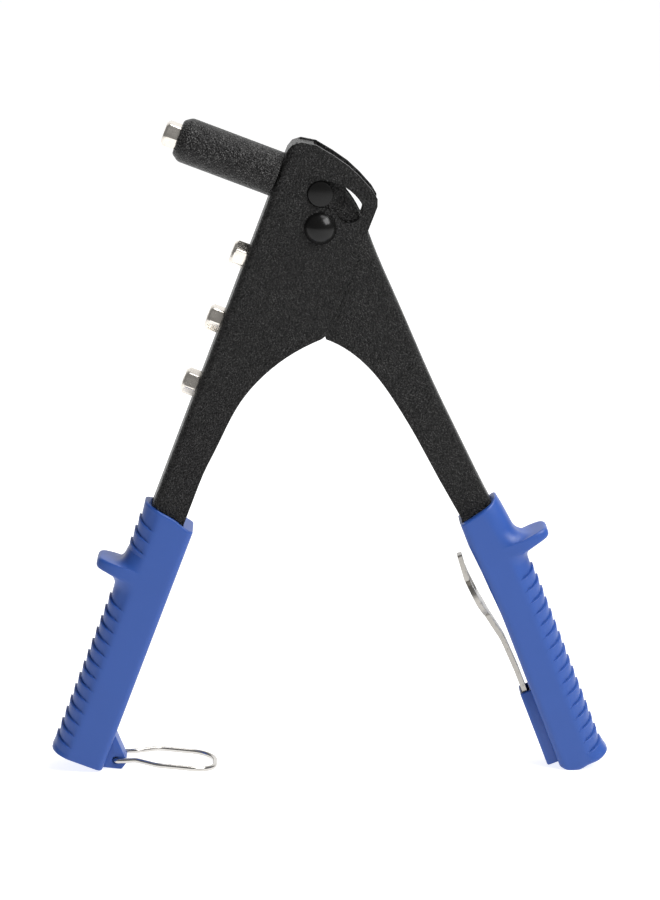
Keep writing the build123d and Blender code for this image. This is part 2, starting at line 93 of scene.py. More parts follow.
def grid_mesh(name, points, closed_rows=False, cap_first=False, cap_last=False, smooth=40.0):
    """A mesh from a grid of points: rows by columns, closed round each row.

    Each quad joins two neighbouring rows and columns. A cap is a fan from the middle of its row.
    """
    rows, columns, _ = points.shape
    joined_rows = rows if closed_rows else rows - 1
    row, column = np.meshgrid(np.arange(joined_rows), np.arange(columns), indexing="ij")
    right = (column + 1) % columns
    below = (row + 1) % rows
    corners = [(row, column), (row, right), (below, right), (below, column)]
    quads = np.stack([at_row * columns + at_column for at_row, at_column in corners], -1)
    vertices = points.reshape(-1, 3)
    faces = quads.reshape(-1, 4).tolist()
    for wanted, at, flip in ((cap_first, 0, True), (cap_last, rows - 1, False)):
        if wanted:
            middle = len(vertices)
            vertices = np.vstack([vertices, points[at].mean(0)])
            first = at * columns + np.arange(columns)
            second = at * columns + (np.arange(columns) + 1) % columns
            fan = np.stack([second, first, np.full(columns, middle)], 1)
            faces += (fan if flip else fan[:, ::-1]).tolist()
    mesh = bpy.data.meshes.new(name)
    mesh.from_pydata(vertices.tolist(), [], faces)
    mesh.validate()
    piece = bpy.data.objects.new(name, mesh)
    bpy.context.scene.collection.objects.link(piece)
    with_all_selected(
        piece,
        lambda: bpy.ops.mesh.remove_doubles(threshold=1e-6),
        lambda: bpy.ops.mesh.normals_make_consistent(inside=False),
    )
    smooth_faces(mesh, smooth)
    return piece


def with_all_selected(piece, *operators):
    """Run mesh operators on the whole of a piece."""
    bpy.context.view_layer.objects.active = piece
    bpy.ops.object.select_all(action="DESELECT")
    piece.select_set(True)
    bpy.ops.object.mode_set(mode="EDIT")
    bpy.ops.mesh.select_all(action="SELECT")
    for operator in operators:
        operator()
    bpy.ops.object.mode_set(mode="OBJECT")


def smooth_faces(mesh, degrees):
    """Shade every face smoothly, except across edges sharper than an angle."""
    mesh.polygons.foreach_set("use_smooth", np.ones(len(mesh.polygons), bool))
    mesh.set_sharp_from_angle(angle=math.radians(degrees))
    mesh.update()


def rounded(points, radii, steps=7):
    """A path with an arc in each corner.

    The tangent points lie radius / tan(half the corner's angle) from it, and a radius turns from
    the first to the second about the middle, on the line that halves the corner.
    """
    points = np.array(points, float)
    path = [points[0]]
    for corner in range(1, len(points) - 1):
        here = points[corner]
        back = points[corner - 1] - here
        ahead = points[corner + 1] - here
        back_length, ahead_length = np.linalg.norm(back), np.linalg.norm(ahead)
        back, ahead = back / back_length, ahead / ahead_length
        half = math.acos(np.clip(back @ ahead, -1, 1)) / 2
        radius = radii[corner - 1]
        if radius <= 0 or half > math.radians(89):
            path.append(here)
            continue
        reach = min(radius / math.tan(half), 0.49 * back_length, 0.49 * ahead_length)
        radius = reach * math.tan(half)
        middle = here + (back + ahead) / np.linalg.norm(back + ahead) * (radius / math.sin(half))
        start = here + back * reach - middle
        sweep = math.pi - 2 * half
        finish = here + ahead * reach - middle
        side = (finish - start * math.cos(sweep)) / math.sin(sweep)
        turn = np.linspace(0, sweep, steps)[:, None]
        path += list(middle + start * np.cos(turn) + side * np.sin(turn))
    path.append(points[-1])
    return np.array(path)


def fill_in(path, longest):
    """The same path with points added so that no run is longer than a limit."""
    out = [path[0]]
    for start, end in zip(path, path[1:]):
        count = max(1, int(math.ceil(np.linalg.norm(end - start) / longest)))
        out += [start + (end - start) * k / count for k in range(1, count + 1)]
    return np.array(out)


def from_cad(name, node, bevel):
    """A copy of a CAD node with its triangles merged into flat faces and its edges rounded."""
    mesh = nodes[node].data.copy()
    mesh.name = name
    piece = bpy.data.objects.new(name, mesh)
    bpy.context.scene.collection.objects.link(piece)
    with_all_selected(
        piece,
        lambda: bpy.ops.mesh.remove_doubles(threshold=2e-6),
        lambda: bpy.ops.mesh.dissolve_limited(angle_limit=math.radians(0.4)),
    )
    smooth_faces(mesh, CAD_SMOOTH)
    rounding = piece.modifiers.new("rounding", "BEVEL")
    rounding.width = bevel * MM
    rounding.segments = 3
    rounding.limit_method = "ANGLE"
    rounding.angle_limit = math.radians(CAD_SMOOTH)
    rounding.miter_outer = "MITER_ARC"
    rounding.harden_normals = True
    return piece


# ---- Materials ---------------------------------------------------------------------------------


class Value:
    """A number that changes over a surface: arithmetic on it adds Math nodes."""

    def __init__(self, shader, socket):
        self.shader = shader
        self.socket = socket

    def _math(self, operation, first, second):
        """One Math node on two values or numbers."""
        return self.shader.node("ShaderNodeMath", {"operation": operation}, {0: first, 1: second})

    def __add__(self, other):
        return self._math("ADD", self, other)

    def __radd__(self, other):
        return self._math("ADD", other, self)

    def __sub__(self, other):
        return self._math("SUBTRACT", self, other)

    def __rsub__(self, other):
        return self._math("SUBTRACT", other, self)

    def __mul__(self, other):
        return self._math("MULTIPLY", self, other)

    def __rmul__(self, other):
        return self._math("MULTIPLY", other, self)

    def between(self, low, high):
        """0 below low and 1 above high, smoothly."""
        settings = {"interpolation_type": "SMOOTHSTEP"}
        return self.shader.node("ShaderNodeMapRange", settings, {0: self, 1: low, 2: high})


class Shader:
    """A material with one Principled shader."""

    def __init__(self, name):
        self.material = bpy.data.materials.new(name)
        self.material.use_nodes = True
        self.tree = self.material.node_tree
        self.main = self.tree.nodes["Principled BSDF"]

    def node(self, kind, settings=None, inputs=None, output=0):
        """Any node: its settings first, then the values or links of its sockets."""
        made = self.tree.nodes.new(kind)
        for key, setting in (settings or {}).items():
            setattr(made, key, setting)
        for key, value in (inputs or {}).items():
            self.feed(made.inputs[key], value)
        return Value(self, made.outputs[output])

    def feed(self, socket, value):
        """Link a value to a socket, or set the socket to a constant."""
        if isinstance(value, Value):
            self.tree.links.new(value.socket, socket)
        else:
            socket.default_value = value

    def place(self):
        """Each point's place in the piece's own coordinates."""
        return self.node("ShaderNodeTexCoord", output="Object")

    def noise(self, size_mm, detail=2.0, roughness=0.5):
        """Fractal noise from 0 to 1 with features of a size."""
        scale = 1 / (size_mm * MM)
        inputs = {"Vector": self.place(), "Scale": scale, "Detail": detail, "Roughness": roughness}
        return self.node("ShaderNodeTexNoise", None, inputs, "Fac")

    def mix(self, amount, first, second):
        """A colour from the first to the second as the amount goes from 0 to 1."""
        inputs = {0: amount, 6: first, 7: second}
        return self.node("ShaderNodeMix", {"data_type": "RGBA"}, inputs, 2)

    def bump(self, height, strength, depth_mm):
        """A normal tilted by a height that runs from 0 to 1 over a depth."""
        inputs = {"Height": height, "Strength": strength, "Distance": depth_mm * MM}
        return self.node("ShaderNodeBump", None, inputs, "Normal")

    def set(self, **values):
        """Feed the Principled shader's sockets, named with _ for spaces."""
        for key, value in values.items():
            self.feed(self.main.inputs[key.replace("_", " ")], value)
        return self.material


def grey(level, warm=0.0):
    """A grey of one level, warmed by a share of it."""
    return (level * (1 + warm), level, level * (1 - warm), 1.0)


def pebbled_paint(name, level, sparkle):
    """Black textured coat: pebbles under a millimetre, with painted glints as paler specks on them,
    painted shade in their pits and a slow unevenness.
    """
    shader = Shader(name)
    pebbles = shader.noise(0.80, 1.2, 0.4)
    fine = shader.noise(0.42, 1.0)
    slow = shader.noise(9.0, 3.0)
    height = pebbles + fine * 0.40
    # The paler specks are painted glints, colour that stands in for light caught by the pebbles' tops.
    # They are also a little glossier.
    glint_spots = (fine - pebbles * 0.35 + slow * 0.15).between(0.42, 0.54)
    # Painted shade: the pebbles' low parts get 0.4 of the coat's colour, and this mask is 1 on the
    # raised parts.
    pit_shade_mask = height.between(0.58, 0.76)
    painted_glints = shader.mix(glint_spots * sparkle, grey(level, 0.02), grey(level * 12.0, 0.02))
    return shader.set(
        Base_Color=shader.mix(pit_shade_mask, grey(level * 0.4), painted_glints),
        Roughness=0.34 - glint_spots * 0.08 + (slow - 0.5) * 0.12,
        Normal=shader.bump(height, 1.0, 0.75),
        Specular_IOR_Level=0.20,
    )


def smooth_black(name, level, roughness):
    """Blackened steel: glossy, with paler rubbed patches and a fine unevenness."""
    shader = Shader(name)
    wear = shader.noise(2.2, 4.0)
    rubbed = wear.between(0.55, 0.85)
    return shader.set(
        Base_Color=shader.mix(rubbed, grey(level, 0.02), grey(level * 1.7, 0.03)),
        Roughness=roughness + wear * 0.08,
        Normal=shader.bump(shader.noise(0.35, 2.0), 0.12, 0.02),
        Specular_IOR_Level=0.25,
    )


def blue_plastic(name):
    """Moulded polypropylene: satin skin with a fine grain and faint flow marks."""
    shader = Shader(name)
    flow = shader.noise(14.0, 3.0)
    grain = shader.noise(0.30, 3.0, 0.6)
    deep = (0.018, 0.070, 0.305, 1.0)
    pale = (0.023, 0.080, 0.335, 1.0)
    return shader.set(
        Base_Color=shader.mix(flow, deep, pale),
        Roughness=0.36 + flow * 0.10 + grain * 0.05,
        Normal=shader.bump(grain, 0.22, 0.03),
        Specular_IOR_Level=0.45,
        Subsurface_Weight=0.03,
        Subsurface_Radius=(0.001, 0.0015, 0.003),
    )


def plated(name, colour, roughness, marks):
    """Bright plate over steel: soft waviness, and darker spots where the plate is thin."""
    shader = Shader(name)
    wavy = shader.noise(3.0, 2.0)
    spots = shader.noise(1.1, 5.0, 0.6).between(0.56, 0.80)
    dark = tuple(channel * 0.42 for channel in colour[:3]) + (1.0,)
    return shader.set(
        Base_Color=shader.mix(spots * marks, colour, dark),
        Metallic=1.0,
        Roughness=roughness + spots * marks * 0.25 + wavy * 0.06,
        Normal=shader.bump(wavy * 0.7 + shader.noise(0.25, 2.0) * 0.1, 0.25, 0.05),
    )


def ground_steel(name, level, roughness):
    """Bare machined steel with fine marks."""
    shader = Shader(name)
    marks = shader.noise(0.6, 4.0, 0.65)
    return shader.set(
        Base_Color=shader.mix(marks, grey(level * 0.8), grey(level * 1.15)),
        Metallic=1.0,
        Roughness=roughness + marks * 0.15,
        Normal=shader.bump(marks, 0.15, 0.02),
    )


MATERIALS = {
    "black_paint": pebbled_paint("frame_coat", 0.0048, 0.60),
    "lever_paint": pebbled_paint("lever_coat", 0.0042, 0.75),
    # The barrel's copy of the same coat has a paler base and full glints. This is painted highlight for
    # the light that falls along its top.
    "barrel_paint": pebbled_paint("barrel_coat", 0.0078, 1.0),
    "black_oxide": smooth_black("black_oxide", 0.0045, 0.17),
    "blue_plastic": blue_plastic("blue_grip"),
    "nickel": plated("nickel_plate", (0.80, 0.755, 0.69, 1.0), 0.20, 0.35),
    "wire_chrome": plated("wire_plate", (0.56, 0.54, 0.51, 1.0), 0.10, 0.25),
    "plated_strip": plated("strip_plate", (0.37, 0.355, 0.33, 1.0), 0.28, 1.0),
    "tool_steel": ground_steel("tool_steel", 0.36, 0.30),
    "spring_steel": ground_steel("spring_steel", 0.42, 0.25),
}


def dress(piece, slot):
    """Give a piece its slot's material."""
    piece.data.materials.clear()
    piece.data.materials.append(MATERIALS[slot])


def add_piece(piece, body, slot, *replaced):
    """Dress a piece, put it on its body and name the CAD nodes that it stands for."""
    dress(piece, slot)
    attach(piece, body)
    if replaced:
        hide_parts(*replaced)


# ---- Grips -------------------------------------------------------------------------------------

GRIP_HALF = 11.2
INNER_ROUND = 2.5
OUTER_ROUND = 8.5
RIB_DEPTH = 0.9
GROOVE_DEPTH = 0.35


def section(inner, thickness, way, half, round_inner, back_depth, back_half, fullness):
    """Half of a grip's section as u and y, from the middle of its inner side to its back.

    Flat inner side, a small quarter round, a flat side, then a quarter of a superellipse from the
    side to the flat of the back. Every argument may be an array with one value for each row.
    """
    given = inner, thickness, half, round_inner, back_depth, back_half, fullness
    given = np.broadcast_arrays(*[np.asarray(value, float) for value in given])
    inner, thickness, half, round_inner, back_depth, back_half, fullness = [
        value.reshape(-1, 1) for value in given
    ]
    quarter = np.linspace(0, math.pi / 2, 7)[None, :]
    turn = np.linspace(0, math.pi / 2, 15)[None, :]
    flat = np.linspace(0, 1, 4)[None, :-1]
    side = np.linspace(0, 1, 9)[None, 1:-1]
    power = 2 / fullness
    start = thickness - back_depth
    u = np.hstack([
        0 * inner + 0 * flat,
        round_inner * (1 - np.cos(quarter)),
        round_inner + (start - round_inner) * side,
        start + back_depth * np.sin(turn) ** power,
        thickness + 0 * flat[:, ::-1],
    ])
    y = np.hstack([
        (half - round_inner) * flat,
        half - round_inner * (1 - np.sin(quarter)),
        half + 0 * side,
        back_half + (half - back_half) * np.cos(turn) ** power,
        back_half * flat[:, ::-1],
    ])
    return inner + way * u, y


def level(value):
    """The same value wherever it is asked for."""
    return lambda where: value + 0 * np.asarray(where, float)


def whole_ring(u, y):
    """The half section and its mirror image, as one ring without doubled ends."""
    return np.hstack([u, u[:, -2:0:-1]]), np.hstack([-y, y[:, -2:0:-1]])


def saw_points(first, pitch, count, base):
    """Ledges that face up, each over a fine groove and followed by a slope down to the next."""
    points = []
    for rib in range(count):
        n = first - rib * pitch
        ledge = base(n) - RIB_DEPTH
        groove = ledge - GROOVE_DEPTH
        points += [
            (n + 0.34, ledge), (n + 0.24, groove), (n + 0.02, groove), (n - 0.08, base(n) - 0.02),
        ]
    return points


def saw_radii(count):
    """The corner radii that go with saw_points."""
    return [0.2, 0.08, 0.08, 0.22] * count


class Grip:
    """A moulded grip: a cup round the handle's arm, with ribs and a guard on its back."""

    def __init__(self, handle, way, inner, base, path, radii, rim, foot, arm, floor, ribs, lift):
        """The back points along way times u, from the inner side at inner(n).

        base is the plain thickness, and path with its radii the profile with ribs and guard. rim
        and foot each hold an edge's height as a function of u, and how far its curve reaches. arm
        holds the well's inner and outer side, half width and corner, and floor is its bottom.
        """
        self.handle, self.way, self.inner, self.base = handle, way, inner, base
        self.ribs, self.lift = ribs, lift
        self.profile = fill_in(rounded(path, radii), 1.6)
        self.rim, self.rim_blend = rim
        self.foot, self.foot_blend = foot
        self.arm, self.floor = arm, floor

    def slope(self, u, y, n):
        """Rows near the rim and the foot follow those edges' curves instead of lying level.

        Ribs arch: a row drops with the distance from the grip's middle plane, as a hyperbola. The
        guard's blade rises towards its tip.
        """
        arch = 0.0
        for high, low in self.ribs:
            inside = np.clip((high - n) / 5.0, 0, 1) * np.clip((n - low) / 5.0, 0, 1)
            arch = arch + inside * 0.34 * (np.sqrt(y**2 + 9.0) - 3.0)
        beyond = np.clip(self.way * (u - self.inner(n)) - self.base(n), 0, None)
        n = n - arch + self.lift * beyond / 10.0
        top, foot = self.profile[0, 0], self.profile[-1, 0]
        near_rim = np.clip((n - (top - self.rim_blend)) / self.rim_blend, 0, None)
        near_foot = np.clip(((foot + self.foot_blend) - n) / self.foot_blend, 0, None)
        return n + near_rim * (self.rim(u) - top) + near_foot * (self.foot(u) - foot)

    def outside(self):
        """Sections along the back's profile: fuller where the guard stands proud of the back.

        Where the profile lies below the back, as at a rib's ledge, the section is drawn in by
        that depth, square to its surface, and the depth runs out where the flat side begins.
        """
        n, thickness = self.profile[:, 0], self.profile[:, 1]
        base = self.base(n)
        proud = np.clip((thickness - base) / 9.0, 0, 1)
        full = np.maximum(thickness, base)
        u, y = section(
            self.inner(n), full, self.way, GRIP_HALF, INNER_ROUND, OUTER_ROUND + full - base,
            GRIP_HALF - OUTER_ROUND + 1.5 * proud, 2 + 1.1 * proud,
        )
        sunk = (full - thickness)[:, None]
        side_points, turn_points, back_points = 17, 15, 3
        turn = np.concatenate([
            np.zeros(side_points), np.linspace(0, 1, turn_points), np.ones(back_points),
        ]) * math.pi / 2
        fade = np.clip((turn - 0.12) / 0.42, 0, 1)
        fade = fade * fade * (3 - 2 * fade)
        return u - self.way * sunk * fade * np.sin(turn), y - sunk * fade * np.cos(turn), n

    def inset(self, n, amount):
        """The outer section drawn in by an amount."""
        inner, thickness = self.inner(n), self.base(n)
        return section(
            inner + self.way * amount, thickness - 2 * amount, self.way, GRIP_HALF - amount,
            np.maximum(INNER_ROUND - amount, 0.3), np.maximum(OUTER_ROUND - amount, 0.8),
            GRIP_HALF - OUTER_ROUND, 2.0,
        )

    def rounded_end(self, end, radius, upwards):
        """Rows that turn an end's edge over: inset and height follow a quarter circle."""
        turn = np.linspace(0, math.pi / 2, 6)[1:]
        sign = 1 if upwards else -1
        n = np.full(len(turn), end) - sign * radius * (1 - np.sin(turn))
        u, y = self.inset(n, radius * (1 - np.cos(turn)))
        return u, y, n

    def well(self, top):
        """Rows down the hole for the arm, which widens a little at its mouth."""
        n = np.array([top, top - 0.12, top - 0.5, top - 6.0, self.floor])
        grow = np.array([0.55, 0.16, 0.0, 0.0, 0.0])
        inner, outer, half, corner = self.arm
        u, y = section(
            inner(n) - self.way * grow, abs(outer(n) - inner(n)) + 2 * grow,
            self.way, half + grow, 0.4, corner, half - corner, 2.0,
        )
        return u, y, n

    def rows(self):
        """All rows in order: up the well, out over the rim, down the outside and under the foot."""
        u, y, n = self.outside()
        top, foot = n[0], n[-1]
        lip, toe = 0.9, 1.7
        plain = (n < top - lip) & (n > foot + toe)
        blocks = [
            [part[::-1] for part in self.well(top)],
            [part[::-1] for part in self.rounded_end(top, lip, True)],
            [u[plain], y[plain], n[plain]],
            self.rounded_end(foot, toe, False),
        ]
        return [np.concatenate(parts) for parts in zip(*blocks)]

    def build(self, name):
        """The grip's rows as a closed mesh, each bent to the ribs, the rim and the foot."""
        u, y, n = self.rows()
        u, y = whole_ring(u, y)
        points = self.handle.place(u, y, self.slope(u, y, n[:, None] + 0 * u))
        return grid_mesh(name, points, cap_first=True, cap_last=True, smooth=48.0)


def through(*points):
    """A smooth curve through points, as a function: a monotone cubic in each span."""
    x, v = np.array(points, float).T
    order = np.argsort(x)
    x, v = x[order], v[order]
    step = np.diff(v) / np.diff(x)
    slope = np.concatenate([[step[0]], (step[:-1] + step[1:]) / 2, [step[-1]]])

    def at(where):
        where = np.clip(where, x[0], x[-1])
        span = np.clip(np.searchsorted(x, where) - 1, 0, len(x) - 2)
        width = x[span + 1] - x[span]
        t = (where - x[span]) / width
        return (
            v[span] * (2 * t**3 - 3 * t**2 + 1) + slope[span] * width * (t**3 - 2 * t**2 + t)
            + v[span + 1] * (3 * t**2 - 2 * t**3) + slope[span + 1] * width * (t**3 - t**2)
        )

    return at


def guard_points(base, top, thick, proud):
    """The guard in profile: in to its root, out along its top, round its tip and back under it."""
    points = [
        (top, base + 0.3), (top - 0.2, base + proud), (top - 0.2 - thick, base + proud - 0.4),
        (top - thick - 2.2, base - 0.1),
    ]
    return points, [6.5, 1.5, 1.5, 6.5]


LEFT_THICK = 22.1
LEFT_TOP = -127.3
LEFT_FOOT = -237.6


def left_grip():
    """Three ribs over the guard and thirteen under it, on a grip of even thickness."""
    base = level(LEFT_THICK)
    guard, guard_radii = guard_points(LEFT_THICK, -155.2, 4.1, 9.8)
    path = [(LEFT_TOP, LEFT_THICK)]
    path += saw_points(-134.2, 5.25, 3, base) + [(-148.0, LEFT_THICK - 0.6)]
    path += guard + saw_points(-169.3, 5.06, 13, base)
    path += [(-233.4, LEFT_THICK - 0.3), (LEFT_FOOT, LEFT_THICK)]
    radii = saw_radii(3) + [0.5] + guard_radii + saw_radii(13) + [3.0]
    rim = through((-27, -127.6), (-18.8, -128.9), (-12, -130.1), (-7.1, -131.8), (-3.5, -132.2))
    arm = level(-8.5), level(-23.1), 9.6, 3.0
    ribs = (-128.0, -150.0), (-164.0, -238.5)
    grip = Grip(
        LEFT, -1, level(-4.0), base, path, radii, (rim, 12.0), (level(LEFT_FOOT), 3.0), arm, -231.0,
        ribs, 0.0,
    )
    return grip.build("left_grip")


def left_tab():
    """The gusset that holds the bail: a plate with a hole, drawn as a ring of loops.

    Each loop runs round the outline or round the hole, and the loops go out over the near face,
    across the edge, back over the far face and through the hole.
    """
    half_width, edge, hole_radius = 5.7, 0.5, 1.25
    corners = [
        (-7.0, -219.8), (-4.2, -222.6), (3.95, -231.1), (4.4, -232.6), (3.45, -235.4),
        (-4.2, -237.4), (-7.0, -237.0),
    ]
    outer = fill_in(rounded(corners + [corners[0]], [0.1, 0.9, 0.7, 0.9, 0.1, 0.1]), 0.6)[:-1]
    hole = np.array([(BAIL_HOLE - FULCRUM) @ LEFT.u, (BAIL_HOLE - FULCRUM) @ LEFT.n])
    away = outer - hole
    angle = np.arctan2(away[:, 1], away[:, 0])
    ring = hole + hole_radius * np.stack([np.cos(angle), np.sin(angle)], 1)
    inward = -away / np.linalg.norm(away, axis=1)[:, None]
    loops = []
    for loop, side in ((outer, 1), (ring, -1)):
        for turn in np.linspace(0, math.pi / 2, 5):
            drawn_in = edge * (1 - math.sin(turn)) * inward * side
            loops.append((loop + drawn_in, -half_width + edge * (1 - math.cos(turn))))
    near_outer, near_ring = loops[:5], loops[5:]
    order = near_outer + [(p, -y) for p, y in near_outer[::-1]]
    order += [(p, -y) for p, y in near_ring] + near_ring[::-1]
    points = np.array([LEFT.place(p[:, 0], y, p[:, 1]) for p, y in order])
    return grid_mesh("left_grip_tab", points, closed_rows=True)


RIGHT_TOP = -125.0
RIGHT_FOOT = -244.0


def right_inner(n):
    """The inner side: straight up to a third from the top, then curving in by a power of 1.25."""
    n = np.asarray(n, float)
    return 11.7 - 2.3 * ((np.clip(n, -172, -141) + 172) / 31) ** 1.25


def right_base(n):
    """The thickness: its back leans out at the foot and in at the top, by a power of 1.5."""
    n = np.asarray(n, float)
    outer = 31.0 + np.clip(-236 - n, 0, None) * 0.17
    outer = outer - 4.0 * (np.clip(n + 165, 0, None) / 38) ** 1.5
    return outer - right_inner(n)


def right_grip():
    """Sixteen ribs under the guard, whose blade lifts, and a foot that is cut on a curve."""
    base = right_base
    guard, guard_radii = guard_points(float(base(-145.0)), -146.4, 3.7, 11.6)
    root = (-131.0, float(base(-131.0)))
    path = [(RIGHT_TOP, float(base(RIGHT_TOP))), root]
    path += guard + saw_points(-158.6, 5.16, 16, base)
    path += [(-240.2, float(base(-240.2)) - 0.1), (RIGHT_FOOT, float(base(RIGHT_FOOT)))]
    radii = [8.0] + guard_radii + saw_radii(16) + [2.0]
    rim = through(
        (8, -132.0), (9.2, -131.8), (16, -130.4), (23.7, -128.2), (26.3, -126.8), (29, -126.2),
    )
    foot = through(
        (11.5, -240.4), (15, -243.0), (19, -244.0), (23, -243.4), (28, -243.3), (32.5, -242.4),
    )
    lever_inner = through((-232, 14.6), (-170, 14.4), (-145, 12.6), (-127, 10.2), (-109, 7.6))
    lever_outer = through((-232, 28.0), (-175, 28.0), (-150, 27.0), (-127, 24.0), (-105, 21.9))
    arm = (lambda n: lever_inner(n) - 0.1, lambda n: lever_outer(n) + 0.1, 7.4, 2.4)
    grip = Grip(
        RIGHT, 1, right_inner, base, path, radii, (rim, 14.0), (foot, 9.0), arm, -233.0,
        ((-153.5, -243.0),), 1.1,
    )
    return grip.build("right_grip")


def wrench_pocket():
    """A narrow cup on the grip's inner side, open at the top: rows from its floor, over its lip.

    Each row gives n, the inner and outer side, the half width and the corner's radius.
    """
    rows = [
        (-233.0, 8.1, 11.0, 5.5, 0.2), (-207.2, 8.1, 11.0, 5.5, 0.2), (-206.6, 7.9, 11.2, 5.7, 0.3),
        (-206.5, 7.75, 11.5, 5.9, 0.4), (-206.5, 7.6, 12.6, 6.3, 0.5),
        (-206.7, 7.25, 12.8, 6.65, 0.7), (-207.1, 7.1, 12.9, 6.8, 0.8),
        (-238.0, 7.1, 12.9, 6.8, 0.8), (-238.5, 7.3, 12.8, 6.6, 0.7), (-238.7, 7.8, 12.6, 6.1, 0.5),
    ]
    n, inner, outer, half, corner = np.array(rows).T
    u, y = section(inner, outer - inner, 1, half, corner, corner, half - corner, 2.0)
    u, y = whole_ring(u, y)
    points = RIGHT.place(u, y, n[:, None] + 0 * u)
    return grid_mesh("wrench_pocket", points, cap_first=True, cap_last=True)


# ---- Turned and bent parts ---------------------------------------------------------------------


AXIS_N = 13.0
BARREL_FRONT = -64.6
WEB_U = -23.0
SPARE_FIRST_N = -22.0
SPARE_PITCH = 27.4
HEX_FLATS = 9.5
HEX_CORNER = 5.36
HEX_HEIGHT = 5.9
PIN_RADIUS = 3.5
PIN_HEAD_RADIUS = 5.0
LEVER_HALF = 7.3
FRAME_HALF = 9.5


def turned(
    name, centre, way, profile, side=ACROSS, smooth=30.0, columns=72, radius_at=None, tube=False
):
    """A profile of distance along and radius, turned about a line, from the side round.

    radius_at may change the radius round the ring, as on a hexagon: it gets the angle and radius.
    A tube's profile is a closed loop, so it has no caps.
    """
    profile = np.array(profile, float)
    angle = np.linspace(0, 2 * math.pi, columns, endpoint=False)[None, :]
    radius = profile[:, 1:2] + 0 * angle
    if radius_at is not None:
        radius = radius_at(angle, radius)
    up = np.cross(way, side)
    points = (
        centre + profile[:, 0, None, None] * way + (radius * np.cos(angle))[..., None] * side
        + (radius * np.sin(angle))[..., None] * up
    )
    solid = not tube
    return grid_mesh(name, points * MM, tube, solid, solid, smooth)


def turned_across(name, centre, half):
    """As turned, about a line across the tool, from half of a profile and its mirror image."""
    profile = [(-y, radius) for y, radius in half[:0:-1]] + half
    return turned(name, centre, ACROSS, profile, UP)


def on_line(u, n):
    """A place in millimetres in the frame's directions."""
    return FULCRUM + u * LEFT.u + n * LEFT.n


def barrel():
    """A thick tube with a softened front corner, threaded in front, and a tail in the block."""
    outside, bore, tail, thread = 9.1, 5.8, 7.0, 4.06
    shoulder, end = 41.6, 48.1
    seam = (2.2, thread)
    outline = [
        seam, (0, thread), (0, 6.9), (3.0, outside), (shoulder, outside), (shoulder, tail),
        (end, tail), (end, bore), (4.4, bore), (4.4, thread), seam,
    ]
    profile = fill_in(rounded(outline, [0.3, 1.6, 3.6, 0.1, 0, 0.2, 0.2, 0.2, 0.2], 10), 6.0)[:-1]
    return turned("barrel_tube", on_line(BARREL_FRONT, AXIS_N), LEFT.u, profile, tube=True)


def hexagon(turned_by):
    """The lesser of the turned radius and the hexagon's distance, with its corners a bit soft."""

    def limit(angle, radius):
        turn = (angle - math.radians(turned_by) + math.pi / 6) % (math.pi / 3) - math.pi / 6
        return np.minimum(radius, np.minimum(HEX_FLATS / 2 / np.cos(turn), HEX_CORNER))

    return limit


def nosepiece(name, u_seat, n, bore, turned_by):
    """A hexagon with a coned nose and a rounded bore, on a threaded shank."""
    hole, length = bore / 2, 13.7
    crest, root, first, pitch = 3.98, 3.76, HEX_HEIGHT + 0.25, 0.5
    nose = [(length, hole), (0.35, hole), (0.05, hole + 0.3), (0.0, hole + 0.5), (0.0, 3.9)]
    head = [(0.15, 4.2), (0.9, 4.9), (1.3, 5.6), (5.5, 5.6), (5.75, 5.3), (5.88, 4.9), (HEX_HEIGHT, 4.2)]
    thread = []
    for turn in range(8):
        along = first + turn * pitch
        thread += [(along, crest), (along + pitch / 2, root)]
    tail = [(10.3, 3.9), (10.4, 2.7), (13.5, 2.45), (length, 2.2)]
    return turned(
        name, on_line(u_seat - HEX_HEIGHT, n), LEFT.u, nose + head + thread + tail,
        smooth=24.0, columns=96, radius_at=hexagon(turned_by),
    )


def domed_rivet():
    """A plain shank between two spherical caps, each with a short straight skirt."""
    height, radius, skirt = 4.0, 6.4, FRAME_HALF - 0.1
    ball = (radius**2 + height**2) / (2 * height)
    angle = np.linspace(0.02, math.asin(radius / ball), 20)[::-1]
    centre = FRAME_HALF + height - ball
    cap = [(centre + ball * math.cos(a), ball * math.sin(a)) for a in angle]
    half = [(0.0, PIN_RADIUS), (skirt, PIN_RADIUS), (skirt, radius)] + cap
    return turned_across("domed_rivet", FULCRUM, half)


def drive_pin():
    """A round pin with flat heads outside the lever's plates, chamfered at their edges."""
    low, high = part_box("drive_pin")
    centre = np.array([(low[0] + high[0]) / 2, 0.0, (low[2] + high[2]) / 2]) / MM
    end, head = high[1] / MM, PIN_HEAD_RADIUS
    half = [
        (0.0, PIN_RADIUS), (LEVER_HALF, PIN_RADIUS), (LEVER_HALF + 0.02, head), (end - 0.5, head),
        (end - 0.15, head - 0.15), (end, head - 0.5),
    ]
    return turned_across("drive_pin_bar", centre, half)


